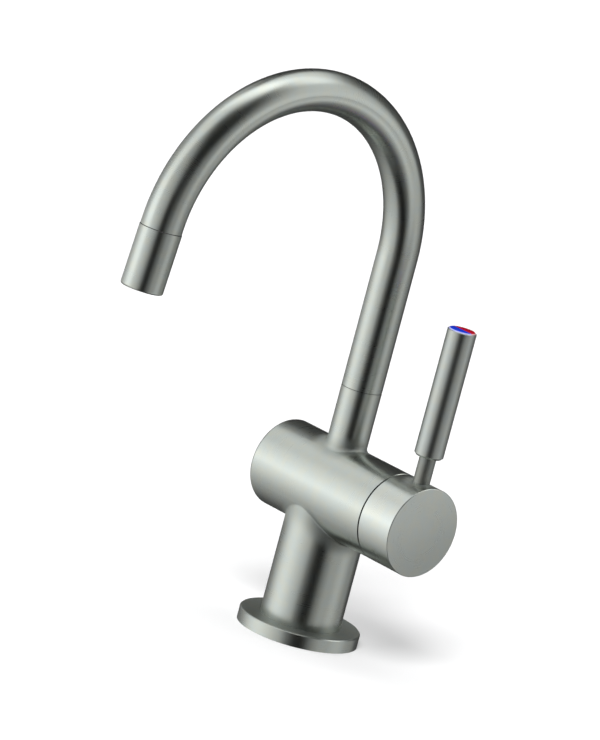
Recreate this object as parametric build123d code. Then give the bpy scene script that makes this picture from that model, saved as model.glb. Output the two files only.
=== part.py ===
"""A worktop tap for hot and cold drinking water, with a swivel gooseneck spout and one lever.

Millimetres. The origin is the centre of the flange's underside, on the worktop. +Z is up,
the spout reaches towards -Y, and the barrel with its turning cap lies along X.
"""
from build123d import *
import os
from math import cos, radians, sin

# Clearances
running = 0.05          # radial, between a shaft and the hole that it turns in
snug = 0.02             # radial, between pieces that are screwed, pressed or brazed together
sliding_face = 0.05     # between flat faces that rub
seam = 0.25             # open seam between two outside faces
loose = 0.3             # radial, round a piece that only passes through
overrun = 1.0           # how far a cut runs past the face that it opens

# Flange and gasket
flange_radius = 27.0
flange_height = 6.0
flange_edge = 0.5
gasket_margin = 3.0
gasket_width = 2.4
gasket_depth = 1.6

# Body casting
stem_radius = 18.0
barrel_overhang = 2.0   # how far the barrel stands out past the stem, each side
barrel_height = 66.4    # of the barrel's axis, above the worktop
barrel_back = 34.6      # from the stem's axis to the closed end
barrel_front = 38.2     # from the stem's axis to the open end
back_round = 1.6
open_edge = 0.3
stem_fillet = 1.2
boss_fillet = 2.0
boss_top = 112.0

# Spout
tube_radius = 9.0
tube_wall = 1.2
arch_base = 172.0       # height where the bend starts
bend_radius = 69.0
bend_angle = 175.0
outlet_run = 2.0        # straight stretch after the bend
tip_overhang = 0.2      # how far the tip stands out past the tube
tip_length = 26.5
tip_round = 0.9
tip_root_wall = 1.0     # under the tip's seal groove
tip_spigot = 6.5        # how far the tip stands up in the tube
spigot_ease = 0.4       # radial, where the spigot stands in the bend
seal_land = 0.5         # between the straight stretch and the tip's seal groove
straightener_depth = 8.0
straightener_recess = 1.2
jet_radius = 1.15       # from the middle of a six-sided jet to its corners
jet_pitch = 2.7
jet_plate = 2.0

# Spout bearing inside the boss
journal_radius = 6.5
journal_bore = 3.6
journal_depth = 23.0    # below the seam
journal_plug = 14.0     # above the seam, inside the tube
bush_wall = 0.65
bush_length = 10.0
washer_margin = 0.35    # how far the glide washer stays inside the tube's face
ring_wire = 0.8         # half the thickness of a seal ring
seal_pitch = 4.0
clip_height = 1.6
clip_width = 1.5
clip_proud = 0.5        # how far the split ring stands out of its bore
clip_lift = 2.0         # from the floor of the bore to the clip's groove
clip_opening = 30.0     # degrees left open in a split ring

# Shank, tails and clamp under the worktop
shank_radius = 14.0
shank_wall = 2.0
shank_edge = 1.0
shank_grip = 14.0       # screwed into the stem
shank_length = 48.0     # below the worktop's face
deck_thickness = 20.0
rubber_radius = 25.0
rubber_thickness = 2.5
washer_radius = 24.0
washer_thickness = 2.0
nut_across_flats = 36.0
nut_thickness = 7.0
nut_corner = 1.75       # height of the bevel on the nut's corners
tail_radius = 4.0
tail_wall = 1.2
tail_margin = 0.5       # between a tail and the shank's bore
tail_seal_wire = 0.5    # half the thickness of a tail's seal ring
tail_seat = 12.0        # how far a tail stands in the casting
tail_reach = 16.0       # below the shank's end
spigot_radius = 3.6     # of the tail's end, that a hose is pushed on
spigot_length = 14.0
spigot_edge = 0.4

# Waterways in the casting
water_radius = 2.2
riser_radius = 3.5
link_height = 11.0      # above the barrel's axis, where the outlets join

# Valve cartridge, along the barrel
seat_depth = 30.2       # from the barrel's open end to the cartridge's seat
shoulder_depth = 8.2    # from the barrel's open end to the cartridge's shoulder
chamber_radius = 15.0
disc_radius = 12.0
disc_thickness = 3.0
seal_gap = 1.1
port_circle = 8.2
side_port_turn = 75.0   # from the inlet port to each side port
pocket_half_angle = 48.0
pocket_depth = 1.4
tongue_width = 5.0
tongue_depth = 1.4
driver_thickness = 3.0
stop_half_angle = 10.0
stop_play = 1.0         # degrees left between the lug and its stop
stop_depth = 0.9
nose_radius = 8.0
nose_length = 13.0
gland_step = 1.5        # from the chamber's wall to the gland nut's thread
gland_thickness = 6.0
gland_slot = 3.0
gland_slot_depth = 1.5
gland_slots = 4
spindle_radius = 4.0
circlip_thickness = 0.8
circlip_width = 1.6
circlip_bite = 0.7      # depth of its groove in the spindle
flat_depth = 1.0        # flat on the spindle under the grub screw

# Return spring
strip_thickness = 0.6
strip_height = 4.0
spring_margin = 1.5     # between the spring's eye and the cap's wall
spring_half_turns = 6
spring_bite = 1.2       # how deep the spring's inner end stands in the nose
pin_radius = 1.2
pin_seat = 1.5          # how far the pin stands in the cap's face
eye_wall = 0.6

# Turning cap and lever
lever_swing = 40.0      # each way from upright
cap_length = 18.9
cap_wall = 2.0
cap_face = 3.0
cap_edge = 0.4
hub_radius = 7.0
hub_gap = 1.9           # between the cartridge's nose and the hub, for the circlip
screw_radius = 2.0
screw_length = 8.0
screw_socket = 1.0      # radius of the hexagon socket
screw_socket_depth = 2.0
screw_boss_wall = 1.5
lever_setback = 8.4     # from the cap's flat face to the lever's axis
neck_radius = 3.7
neck_root_radius = 2.6
neck_root_length = 5.0
neck_socket = 6.0       # how far the neck stands in the cap
neck_boss_wall = 1.8
grip_radius = 6.4
grip_base = 98.1
grip_top = 154.6
grip_chamfer = 0.9
grip_socket = 15.0
grip_wall = 1.4
rim_wall = 0.4
rim_edge = 0.2
inlay_thickness = 1.8
inlay_rise = 0.5        # how far the coloured inlay stands above the rim
inlay_edge = 0.45       # bevel round the inlay's top
carrier_length = 5.0
carrier_wall = 1.0

# Places worked out from the sizes above
barrel_radius = stem_radius + barrel_overhang
cap_inside = barrel_radius - cap_wall
boss_floor = boss_top - journal_depth
seam_top = boss_top + seam
cap_start = barrel_front + seam
cap_end = cap_start + cap_length
lever_place = cap_end - lever_setback
seat_place = barrel_front - seat_depth
shoulder_place = barrel_front - shoulder_depth
gland_radius = chamber_radius + gland_step
disc_start = seat_place + seal_gap
driver_start = disc_start + 2 * disc_thickness + sliding_face
driver_end = driver_start + driver_thickness
nose_end = shoulder_place + nose_length
gland_end = shoulder_place + gland_thickness
hub_start = nose_end + hub_gap
hub_end = cap_end - cap_face
spindle_end = hub_end - loose
screw_place = (hub_start + hub_end) / 2
shank_top = flange_height + shank_grip
tail_top = shank_top + tail_seat
tube_bore = tube_radius - tube_wall
tip_radius = tube_radius + tip_overhang
tip_seal_root = tube_bore - 2 * ring_wire
tip_bore = tip_seal_root - tip_root_wall
tail_end = shank_length + tail_reach
tail_circle = shank_radius - shank_wall - tail_margin - tail_radius
bush_radius = journal_radius + running + bush_wall
inlet_drop = port_circle
side_port_side = port_circle * sin(radians(side_port_turn))
side_port_drop = port_circle * cos(radians(side_port_turn))
tail_ahead = tail_circle * cos(radians(180 / 3))
tail_aside = tail_circle * sin(radians(180 / 3))

# The barrel's own frame: X to the back (+Y), Y up (+Z), Z along the barrel (+X)
barrel = Plane(origin=(0, 0, barrel_height), x_dir=(0, 1, 0), z_dir=(1, 0, 0))
# The outlet's own frame, at the end of the tube, with Z along the falling water
arch_end = radians(bend_angle)
outlet_way = Vector(0, -sin(arch_end), cos(arch_end))
bend_end = Vector(
    0,
    -bend_radius * (1 - cos(arch_end)),
    arch_base + bend_radius * sin(arch_end),
)
outlet = Plane(origin=bend_end + outlet_way * outlet_run, x_dir=(1, 0, 0), z_dir=outlet_way)


def rod(radius, low, high):
    """A round bar between two heights on the Z axis."""
    return Pos(0, 0, low) * extrude(Circle(radius), high - low)


def sleeve(outer, inner, low, high):
    """A plain tube between two heights on the Z axis."""
    return Pos(0, 0, low) * extrude(Circle(outer) - Circle(inner), high - low)


def turned(*outline):
    """A turned piece from the (radius, height) corners of half its section."""
    return revolve(Plane.XZ * make_face(Polyline(*outline, close=True)), Axis.Z)


def block(across, along, low, high):
    """A bar of oblong section between two heights on the Z axis."""
    return Pos(0, 0, low) * extrude(Rectangle(across, along), high - low)


def wedge(radius, half_angle, low, high):
    """A slice of a round bar, to both sides of the +Y direction."""
    reach = 2 * radius
    side = reach * sin(radians(half_angle))
    ahead = reach * cos(radians(half_angle))
    slice_face = make_face(Polyline((0, 0), (side, ahead), (-side, ahead), close=True))
    return Pos(0, 0, low) * extrude(Circle(radius) & slice_face, high - low)


def soft_ring(inner, wire, place):
    """A rubber ring on a bar of the inner radius, squeezed square in its groove."""
    return sleeve(inner + snug + 2 * wire, inner + snug, place - wire, place + wire)


def split_ring(outer, inner, opening, low, high):
    """A flat spring ring with a gap towards +Y."""
    return sleeve(outer, inner, low, high) - wedge(2 * outer, opening / 2, low, high)


def tail_places():
    """Where the three tails stand round the stem's axis, by what they carry."""
    return {
        "hot_return_tube": Pos(-tail_circle, 0, 0),
        "cold_inlet_tube": Pos(tail_ahead, tail_aside, 0),
        "tank_feed_tube": Pos(tail_ahead, -tail_aside, 0),
    }


def port_places():
    """Inlet, spout and tank ports on the cartridge seat, in the barrel's frame."""
    return [
        Pos(0, -inlet_drop, 0),
        Pos(side_port_side, -side_port_drop, 0),
        Pos(-side_port_side, -side_port_drop, 0),
    ]


def base_flange():
    """The round disc that the stem stands on, with a groove for its gasket."""
    disc = sleeve(flange_radius, shank_radius + loose, 0, flange_height)
    rim = disc.edges().filter_by(GeomType.CIRCLE).group_by(Axis.Z)[-1].sort_by(SortBy.RADIUS)[-1]
    disc = chamfer(rim, flange_edge)
    groove_outer = flange_radius - gasket_margin
    return disc - sleeve(groove_outer, groove_outer - gasket_width, 0, gasket_depth)


def base_gasket():
    """The soft ring that fills the flange's groove."""
    outer = flange_radius - gasket_margin - snug
    return sleeve(outer, outer - gasket_width + 2 * snug, 0, gasket_depth - snug)


def body_outside():
    """Stem, barrel and riser boss, run together with fillets."""
    stem = rod(stem_radius, flange_height, barrel_height)
    across = barrel * rod(barrel_radius, -barrel_back, barrel_front)
    boss = rod(tube_radius, barrel_height, boss_top)
    shell = stem + across + boss
    meetings = shell.edges().filter_by(GeomType.BSPLINE).sort_by(Axis.Z)
    shell = fillet(meetings[-1], boss_fillet)
    meetings = [e for e in shell.edges().filter_by(GeomType.BSPLINE) if e.center().Z < barrel_height]
    shell = fillet(meetings, stem_fillet)
    back = shell.faces().sort_by(Axis.X)[0].edges()
    shell = fillet(back, back_round)
    mouth = shell.faces().sort_by(Axis.X)[-1].edges()
    return chamfer(mouth, open_edge)


def waterway(radius, *corners):
    """Straight drilled passages from corner to corner, each run on past its ends by the radius."""
    way = Part()
    for start, end in zip(corners, corners[1:]):
        run = Vector(*end) - Vector(*start)
        way += Plane(origin=start, z_dir=run) * rod(radius, -radius, run.length + radius)
    return way


def body_waterways():
    """Inlet, tank feed, cold outlet and hot return, as solids to cut from the casting."""
    inlet_z = barrel_height - inlet_drop
    side_z = barrel_height - side_port_drop
    link_z = barrel_height + link_height
    past_seat = seat_place + water_radius
    inlet = waterway(
        water_radius,
        (tail_ahead, tail_aside, tail_top),
        (tail_ahead, tail_aside, inlet_z),
        (tail_ahead, 0, inlet_z),
        (past_seat, 0, inlet_z),
    )
    feed = waterway(
        water_radius,
        (tail_ahead, -side_port_side, tail_top),
        (tail_ahead, -side_port_side, side_z),
        (past_seat, -side_port_side, side_z),
    )
    cold = waterway(
        water_radius,
        (past_seat, side_port_side, side_z),
        (0, side_port_side, side_z),
        (0, side_port_side, link_z),
        (0, 0, link_z),
    )
    hot = waterway(
        water_radius,
        (-tail_circle, 0, tail_top),
        (-tail_circle, 0, link_z),
        (0, 0, link_z),
    )
    riser = waterway(riser_radius, (0, 0, link_z), (0, 0, boss_floor))
    return inlet + feed + cold + hot + riser


def boss_bore():
    """The stepped hole in the boss: bush, seals and the groove of the spout's split ring."""
    groove = boss_floor + clip_lift
    return (
        rod(bush_radius + snug, boss_top - bush_length, boss_top)
        + rod(journal_radius + running, boss_floor, boss_top)
        + rod(clip_outer() + loose, groove, groove + clip_height + loose)
    )


def clip_outer():
    """Outer radius of the split ring that holds the journal down."""
    return journal_radius + running + clip_proud


def faucet_body():
    """The casting, with its cartridge chamber, waterways, boss bore and shank socket."""
    chamber = barrel * (
        rod(chamber_radius, seat_place, barrel_front)
        + rod(gland_radius, shoulder_place, barrel_front)
    )
    socket = rod(shank_radius + snug, flange_height, shank_top)
    body = body_outside() - chamber - socket - boss_bore() - body_waterways()
    seal_groove = tail_radius + 2 * tail_seal_wire
    groove_low = tail_seal_place() - tail_seal_wire - snug
    groove_high = tail_seal_place() + tail_seal_wire + snug
    for place in tail_places().values():
        body -= place * rod(tail_radius + snug, shank_top, tail_top)
        body -= place * rod(seal_groove, groove_low, groove_high)
    return body


def tail_seal_place():
    """Height of the tails' seals, half way up their seats."""
    return shank_top + tail_seat / 2


def tail_seals():
    """One ring round each tail, in its groove in the casting."""
    ring = soft_ring(tail_radius, tail_seal_wire - snug, tail_seal_place())
    return [place * ring for place in tail_places().values()]


def tail_tube():
    """One copper tail, from the casting to its hose spigot below the shank."""
    bore = tail_radius - tail_wall
    shoulder = spigot_length - tail_end
    return turned(
        (bore, -tail_end),
        (spigot_radius - spigot_edge, -tail_end),
        (spigot_radius, spigot_edge - tail_end),
        (spigot_radius, shoulder),
        (tail_radius, shoulder),
        (tail_radius, tail_top),
        (bore, tail_top),
    )


def threaded_shank():
    """The hollow stud that the nut pulls on."""
    shank = sleeve(shank_radius, shank_radius - shank_wall, -shank_length, shank_top)
    rim = shank.edges().filter_by(GeomType.CIRCLE).group_by(Axis.Z)[0].sort_by(SortBy.RADIUS)[-1]
    return chamfer(rim, shank_edge)


def deck_rubber_washer():
    """The soft washer against the worktop's underside."""
    return sleeve(rubber_radius, shank_radius + loose, -deck_thickness - rubber_thickness, -deck_thickness)


def deck_steel_washer():
    """The horseshoe washer, open to one side so that it slips past the hoses."""
    top = -deck_thickness - rubber_thickness
    washer = sleeve(washer_radius, shank_radius + loose, top - washer_thickness, top)
    slot = block(2 * (shank_radius + loose), washer_radius, top - washer_thickness, top)
    return washer - Pos(0, washer_radius / 2, 0) * slot


def mounting_nut():
    """The hexagon nut on the shank, with chamfered corners."""
    top = -deck_thickness - rubber_thickness - washer_thickness
    hexagon = RegularPolygon(nut_across_flats / 2, 6, major_radius=False)
    nut = Pos(0, 0, top - nut_thickness) * extrude(hexagon, nut_thickness)
    corner = nut_across_flats / 2 / cos(radians(30))
    low = top - nut_thickness
    cone = turned(
        (0, low), (nut_across_flats / 2, low), (corner, low + nut_corner), (corner, top), (0, top)
    )
    return (nut & cone) - rod(shank_radius + snug, low, top)


def cartridge_housing():
    """The cartridge's shell: discs at the seat end, shaft nose at the other."""
    cavity = disc_radius + running
    driver_room = cavity - stop_depth
    shaft_hole = spindle_radius + running
    shell = turned(
        (cavity, seat_place),
        (chamber_radius - snug, seat_place),
        (chamber_radius - snug, shoulder_place),
        (nose_radius, shoulder_place),
        (nose_radius, nose_end),
        (shaft_hole, nose_end),
        (shaft_hole, driver_end + sliding_face),
        (driver_room, driver_end + sliding_face),
        (driver_room, driver_start),
        (cavity, driver_start),
    )
    swing = stop_half_angle + lever_swing + stop_play
    shell -= wedge(cavity, swing, driver_start, driver_end + sliding_face)
    slot = block(2 * spring_bite, strip_thickness + 2 * running, gland_end, nose_end)
    return shell - Pos(nose_radius, 0, 0) * slot


def seat_seals():
    """The rings between the chamber's floor and the fixed disc, one at each port."""
    wire = seal_gap / 2 - snug
    ring = soft_ring(water_radius + wire, wire, seat_place + seal_gap / 2)
    return [place * ring for place in port_places()]


def fixed_disc():
    """The ceramic disc with the three ports."""
    disc = rod(disc_radius, disc_start, disc_start + disc_thickness)
    for place in port_places():
        disc -= place * rod(water_radius, disc_start, disc_start + disc_thickness)
    return disc


def moving_disc():
    """The ceramic disc whose pocket joins the inlet to one side port at a time."""
    low = disc_start + disc_thickness + sliding_face
    high = low + disc_thickness
    disc = rod(disc_radius - running, low, high)
    pocket = wedge(port_circle + water_radius, pocket_half_angle, low, low + pocket_depth)
    pocket -= rod(port_circle - water_radius, low, low + pocket_depth)
    slot = block(tongue_width + 2 * running, 2 * disc_radius, high - tongue_depth, high)
    return disc - Rot(0, 0, 180) * pocket - slot


def spindle_seal_places():
    """Where the two rings lie on the spindle."""
    middle = (driver_end + nose_end) / 2
    return [middle - seal_pitch / 2, middle + seal_pitch / 2]


def ring_groove(outer, root, place, half_width):
    """A turned groove, as a solid to cut."""
    return sleeve(outer + running, root, place - half_width, place + half_width)


def cartridge_spindle():
    """The turning shaft with its driver plate, tongue, stop lug and flat."""
    driver_radius = disc_radius - stop_depth - running
    plate = rod(driver_radius, driver_start, driver_end)
    lug = wedge(disc_radius - running, stop_half_angle, driver_start, driver_end)
    tongue = block(tongue_width, 2 * driver_radius, driver_start - tongue_depth + running, driver_start)
    tongue &= rod(driver_radius, driver_start - tongue_depth, driver_start)
    shaft = rod(spindle_radius, driver_start, spindle_end)
    root = spindle_radius - 2 * ring_wire + running
    for place in spindle_seal_places():
        shaft -= ring_groove(spindle_radius, root, place, ring_wire + snug)
    clip_place = nose_end + sliding_face + circlip_thickness / 2
    shaft -= ring_groove(
        spindle_radius, spindle_radius - circlip_bite, clip_place, circlip_thickness / 2 + snug
    )
    flat = block(2 * spindle_radius, flat_depth, hub_start, spindle_end)
    shaft -= Pos(0, -spindle_radius + flat_depth / 2, 0) * flat
    return plate + lug + tongue + shaft


def spindle_seals():
    """The two rings that keep the water behind the spindle's nose."""
    inner = spindle_radius - 2 * ring_wire + running
    return [soft_ring(inner, ring_wire - snug, place) for place in spindle_seal_places()]


def spindle_circlip():
    """The split ring in the spindle's groove, against the end of the nose."""
    inner = spindle_radius - circlip_bite + snug
    low = nose_end + sliding_face
    return split_ring(inner + circlip_width, inner, clip_opening, low, low + circlip_thickness)


def cartridge_nut():
    """The gland nut that holds the cartridge in its chamber, with spanner slots."""
    nut = sleeve(gland_radius - snug, nose_radius + loose, shoulder_place, gland_end)
    slot = block(2 * gland_slot, gland_slot, gland_end - gland_slot_depth, gland_end)
    for place in PolarLocations(gland_radius, gland_slots):
        nut -= place * slot
    return nut


def spring_start():
    """Radius of the strip's middle where the flat spring leaves the nose."""
    return nose_radius + loose + strip_thickness / 2


def eye_radius():
    """Outer radius of the eye at the spring's outer end."""
    return pin_radius + running + eye_wall


def pin_circle():
    """Distance of the spring pin from the barrel's axis."""
    return cap_inside - spring_margin - eye_radius()


def spring_step():
    """How much wider each half turn of the spring is than the one before it."""
    outer_end = pin_circle() - eye_radius() + strip_thickness / 2
    return (outer_end - spring_start()) / spring_half_turns


def return_spring():
    """A flat spiral of half circles, hooked in the nose and round the cap's pin."""
    low = gland_end + loose
    high = low + strip_height
    step = spring_step()
    spiral = Part()
    for turn in range(spring_half_turns):
        radius = spring_start() + turn * step
        below = turn % 2
        bow = sleeve(radius + strip_thickness / 2, radius - strip_thickness / 2, low, high)
        side = -1 if below else 1
        reach = 2 * pin_circle()
        half = Pos(0, side * reach / 2, 0) * block(2 * reach, reach, low, high)
        spiral += Pos(below * step, 0, 0) * (bow & half)
    hook_start = nose_radius - spring_bite + running
    hook_end = spring_start() + strip_thickness / 2
    hook = block(hook_end - hook_start, strip_thickness, low, high)
    eye = sleeve(eye_radius(), pin_radius + running, low, high)
    spiral += Pos((hook_start + hook_end) / 2, 0, 0) * hook
    spiral -= Pos(pin_circle(), 0, 0) * rod(pin_radius + running, low, high)
    return spiral + Pos(pin_circle(), 0, 0) * eye


def spring_pin():
    """The pin in the cap that the spring's eye goes round."""
    return Pos(pin_circle(), 0, 0) * rod(pin_radius, gland_end + loose, pin_end())


def pin_end():
    """How far the spring pin stands in the cap's face."""
    return hub_end + pin_seat


def neck_low():
    """Lower end of the neck's full thickness, from the barrel's axis."""
    return barrel_radius - neck_socket


def lever_frame():
    """Where the lever's axis crosses the barrel's axis."""
    return Pos(lever_place, 0, barrel_height)


def handle_cap():
    """The turning cap, with its hub, the lever's boss and the grub screw's boss."""
    shell = rod(barrel_radius, cap_start, cap_end)
    rims = shell.edges().filter_by(GeomType.CIRCLE).sort_by(Axis.Z)
    shell = chamfer(rims[0], open_edge)
    rims = shell.edges().filter_by(GeomType.CIRCLE).sort_by(Axis.Z)
    shell = fillet(rims[-1], cap_edge)
    shell -= rod(cap_inside, cap_start, hub_end)
    shell += rod(hub_radius, hub_start, hub_end)
    upward = Pos(0, 0, lever_place) * Rot(-90, 0, 0)
    downward = Pos(0, 0, screw_place) * Rot(90, 0, 0)
    under_wall = cap_inside + cap_wall / 2
    shell += upward * rod(neck_radius + neck_boss_wall, nose_radius + loose, under_wall)
    hub_middle = (hub_radius + spindle_radius) / 2
    shell += downward * rod(screw_radius + screw_boss_wall, hub_middle, under_wall)
    shaft = rod(spindle_radius + running, hub_start, hub_end)
    flat = block(2 * (spindle_radius + overrun), flat_depth, hub_start, hub_end)
    shell -= shaft - Pos(0, -spindle_radius - running + flat_depth / 2 - running, 0) * flat
    shell -= upward * rod(neck_radius + snug, neck_low(), barrel_radius + overrun)
    shell -= upward * rod(neck_root_radius + snug, neck_low() - neck_root_length, neck_low())
    shell -= downward * rod(screw_radius + snug, spindle_radius - flat_depth, barrel_radius + overrun)
    return shell - Pos(pin_circle(), 0, 0) * rod(pin_radius + snug, hub_end, pin_end())


def cap_grub_screw():
    """The screw that presses on the spindle's flat, set below the cap's outside."""
    start = spindle_radius - flat_depth + snug
    screw = rod(screw_radius, start, start + screw_length)
    hexagon = RegularPolygon(screw_socket, 6)
    socket = Pos(0, 0, start + screw_length - screw_socket_depth) * extrude(hexagon, screw_socket_depth)
    return Pos(0, 0, screw_place) * Rot(90, 0, 0) * (screw - socket)


def lever_neck():
    """The thin rod from the cap to the grip, with its threaded root."""
    top = grip_base + grip_socket - barrel_height
    low = neck_low()
    neck = rod(neck_radius, low, top) + rod(neck_root_radius, low - neck_root_length, low)
    return lever_frame() * neck


def inlay_floor():
    """Height of the underside of the coloured half discs."""
    return grip_top + inlay_rise - inlay_thickness


def lever_grip():
    """The grip: a tube closed round the neck, with a thin rim round the coloured inlay."""
    outer = grip_radius
    hollow = grip_radius - grip_wall
    rim = grip_radius - rim_wall
    base = grip_base - barrel_height
    top = grip_top - barrel_height
    floor = inlay_floor() - barrel_height
    socket = base + grip_socket
    hole = neck_radius + snug
    grip = turned(
        (hole, base),
        (outer - grip_chamfer, base),
        (outer, base + grip_chamfer),
        (outer, top - rim_edge),
        (outer - rim_edge, top),
        (rim, top),
        (rim, floor),
        (hollow, floor),
        (hollow, socket),
        (hole, socket),
    )
    return lever_frame() * grip


def indicator_carrier():
    """The cup in the top of the grip that the coloured half discs lie on."""
    outer = grip_radius - grip_wall - snug
    top = inlay_floor() - barrel_height
    low = top - carrier_length
    cup = rod(outer, low, top) - rod(outer - carrier_wall, low, top - carrier_wall)
    return lever_frame() * cup


def inlay_half(side):
    """One coloured half disc with a bevelled upper edge, on the given side of the grip in Y."""
    radius = grip_radius - rim_wall - snug
    low = inlay_floor() - barrel_height
    high = low + inlay_thickness
    disc = turned(
        (0, low),
        (radius, low),
        (radius, high - inlay_edge),
        (radius - inlay_edge, high),
        (0, high),
    )
    half = Pos(0, side * radius, 0) * block(2 * radius, 2 * radius, low, high)
    return lever_frame() * (disc & half)


def spout_tube():
    """The gooseneck: straight up from the seam, round the bend, and a short straight end."""
    middle = arch_end / 2
    crown = Vector(0, -bend_radius * (1 - cos(middle)), arch_base + bend_radius * sin(middle))
    start = Vector(0, 0, arch_base)
    rise = Line((0, 0, seam_top), start)
    bend = ThreePointArc(start, crown, bend_end)
    run = Line(bend_end, bend_end + outlet_way * outlet_run)
    section = Pos(0, 0, seam_top) * (Circle(tube_radius) - Circle(tube_bore))
    return sweep(section, path=rise + bend + run)


def journal_seal_places():
    """Heights of the two rings on the journal, under the bush."""
    upper = boss_top - bush_length - seal_pitch / 2
    return [upper - seal_pitch, upper]


def spout_journal():
    """The turned end of the spout: a plug in the tube and a grooved shaft in the boss."""
    low = boss_floor + loose
    plug = tube_bore - snug
    top = seam_top + journal_plug
    mouth = plug - tube_wall
    journal = turned(
        (journal_bore, low),
        (journal_radius, low),
        (journal_radius, seam_top),
        (plug, seam_top),
        (plug, top),
        (mouth, top),
        (journal_bore, top - (mouth - journal_bore)),
    )
    root = journal_radius - 2 * ring_wire + running
    for place in journal_seal_places():
        journal -= ring_groove(journal_radius, root, place, ring_wire + snug)
    clip_middle = boss_floor + clip_lift + (clip_height + loose) / 2
    clip_root = clip_outer() - clip_width - snug
    return journal - ring_groove(journal_radius, clip_root, clip_middle, clip_height / 2 + snug)


def spout_seals():
    """The two rings in the journal's grooves."""
    inner = journal_radius - 2 * ring_wire + running
    return [soft_ring(inner, ring_wire - snug, place) for place in journal_seal_places()]


def spout_retaining_ring():
    """The split ring that stops the spout from being pulled out of the boss."""
    low = boss_floor + clip_lift + loose / 2
    return split_ring(clip_outer(), clip_outer() - clip_width, clip_opening, low, low + clip_height)


def spout_bush():
    """The plastic bearing in the top of the boss."""
    return sleeve(bush_radius, journal_radius + running, boss_top - bush_length, boss_top)


def glide_washer():
    """The thin washer in the seam, that the spout turns on."""
    return sleeve(tube_radius - washer_margin, journal_radius + running, boss_top, seam_top - sliding_face)


def outlet_tip():
    """The straight sleeve at the end of the spout, with its spigot inside the tube."""
    cup = tip_radius - tube_wall
    shoulder = tip_length - straightener_depth
    spigot = tube_bore - snug
    tip = turned(
        (tip_bore, -tip_spigot),
        (tube_bore - spigot_ease, -tip_spigot),
        (tube_bore - spigot_ease, -outlet_run),
        (spigot, -outlet_run),
        (spigot, 0),
        (tip_radius - open_edge, 0),
        (tip_radius, open_edge),
        (tip_radius, tip_length),
        (cup, tip_length),
        (cup, shoulder),
        (tip_bore, shoulder),
    )
    rims = tip.edges().filter_by(GeomType.CIRCLE).group_by(Axis.Z)[-1].sort_by(SortBy.RADIUS)
    tip = fillet(rims[-1], tip_round)
    return outlet * (tip - ring_groove(tube_bore, tip_seal_root, tip_seal_place(), ring_wire + snug))


def tip_seal_place():
    """Where the ring lies on the spigot, just past the tube's straight stretch."""
    return -outlet_run - seal_land - ring_wire


def tip_seal():
    """The ring between the tip's spigot and the tube."""
    return outlet * soft_ring(tip_seal_root, ring_wire - 2 * snug, tip_seal_place())


def flow_straightener():
    """The cup with a honeycomb face that sends the water down in one clear stream."""
    outer = tip_radius - tube_wall - snug
    low = tip_length - straightener_depth
    high = tip_length - straightener_recess
    cup = rod(outer, low, high) - rod(outer - carrier_wall, low, high - jet_plate)
    jets = [Pos(0, 0, 0)]
    for ring in (1, 2):
        jets += PolarLocations(ring * jet_pitch, 6 * ring)
    for place in jets:
        cup -= place * Pos(0, 0, high - jet_plate) * extrude(RegularPolygon(jet_radius, 6), jet_plate)
    return outlet * cup


def save(name, piece):
    """Write one node, whether it is one solid or a group of separate ones."""
    shape = Compound(children=piece) if isinstance(piece, list) else piece
    export_step(shape, f"parts/{name}.step")


os.makedirs("parts", exist_ok=True)
upright = {
    "base_flange": base_flange(),
    "base_gasket": base_gasket(),
    "faucet_body": faucet_body(),
    "threaded_shank": threaded_shank(),
    "deck_rubber_washer": deck_rubber_washer(),
    "deck_steel_washer": deck_steel_washer(),
    "mounting_nut": mounting_nut(),
    "tail_seals": tail_seals(),
    "spout_bush": spout_bush(),
    "glide_washer": glide_washer(),
    "spout_tube": spout_tube(),
    "spout_journal": spout_journal(),
    "spout_seals": spout_seals(),
    "spout_retaining_ring": spout_retaining_ring(),
    "outlet_tip": outlet_tip(),
    "tip_seal": tip_seal(),
    "flow_straightener": flow_straightener(),
    "lever_neck": lever_neck(),
    "lever_grip": lever_grip(),
    "indicator_carrier": indicator_carrier(),
    "cold_indicator": inlay_half(-1),
    "hot_indicator": inlay_half(1),
}
in_barrel = {
    "cartridge_housing": cartridge_housing(),
    "seat_seals": seat_seals(),
    "fixed_disc": fixed_disc(),
    "moving_disc": moving_disc(),
    "cartridge_spindle": cartridge_spindle(),
    "spindle_seals": spindle_seals(),
    "spindle_circlip": spindle_circlip(),
    "cartridge_nut": cartridge_nut(),
    "return_spring": return_spring(),
    "spring_pin": spring_pin(),
    "handle_cap": handle_cap(),
    "cap_grub_screw": cap_grub_screw(),
}
for name, piece in upright.items():
    save(name, piece)
for name, place in tail_places().items():
    save(name, place * tail_tube())
for name, piece in in_barrel.items():
    save(name, [barrel * one for one in piece] if isinstance(piece, list) else barrel * piece)
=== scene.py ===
"""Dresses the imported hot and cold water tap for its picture: finishes, shank thread and studio."""
from collections import namedtuple
from math import ceil, cos, pi, radians, sin, tan

import bpy
from mathutils import Matrix, Vector


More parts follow.
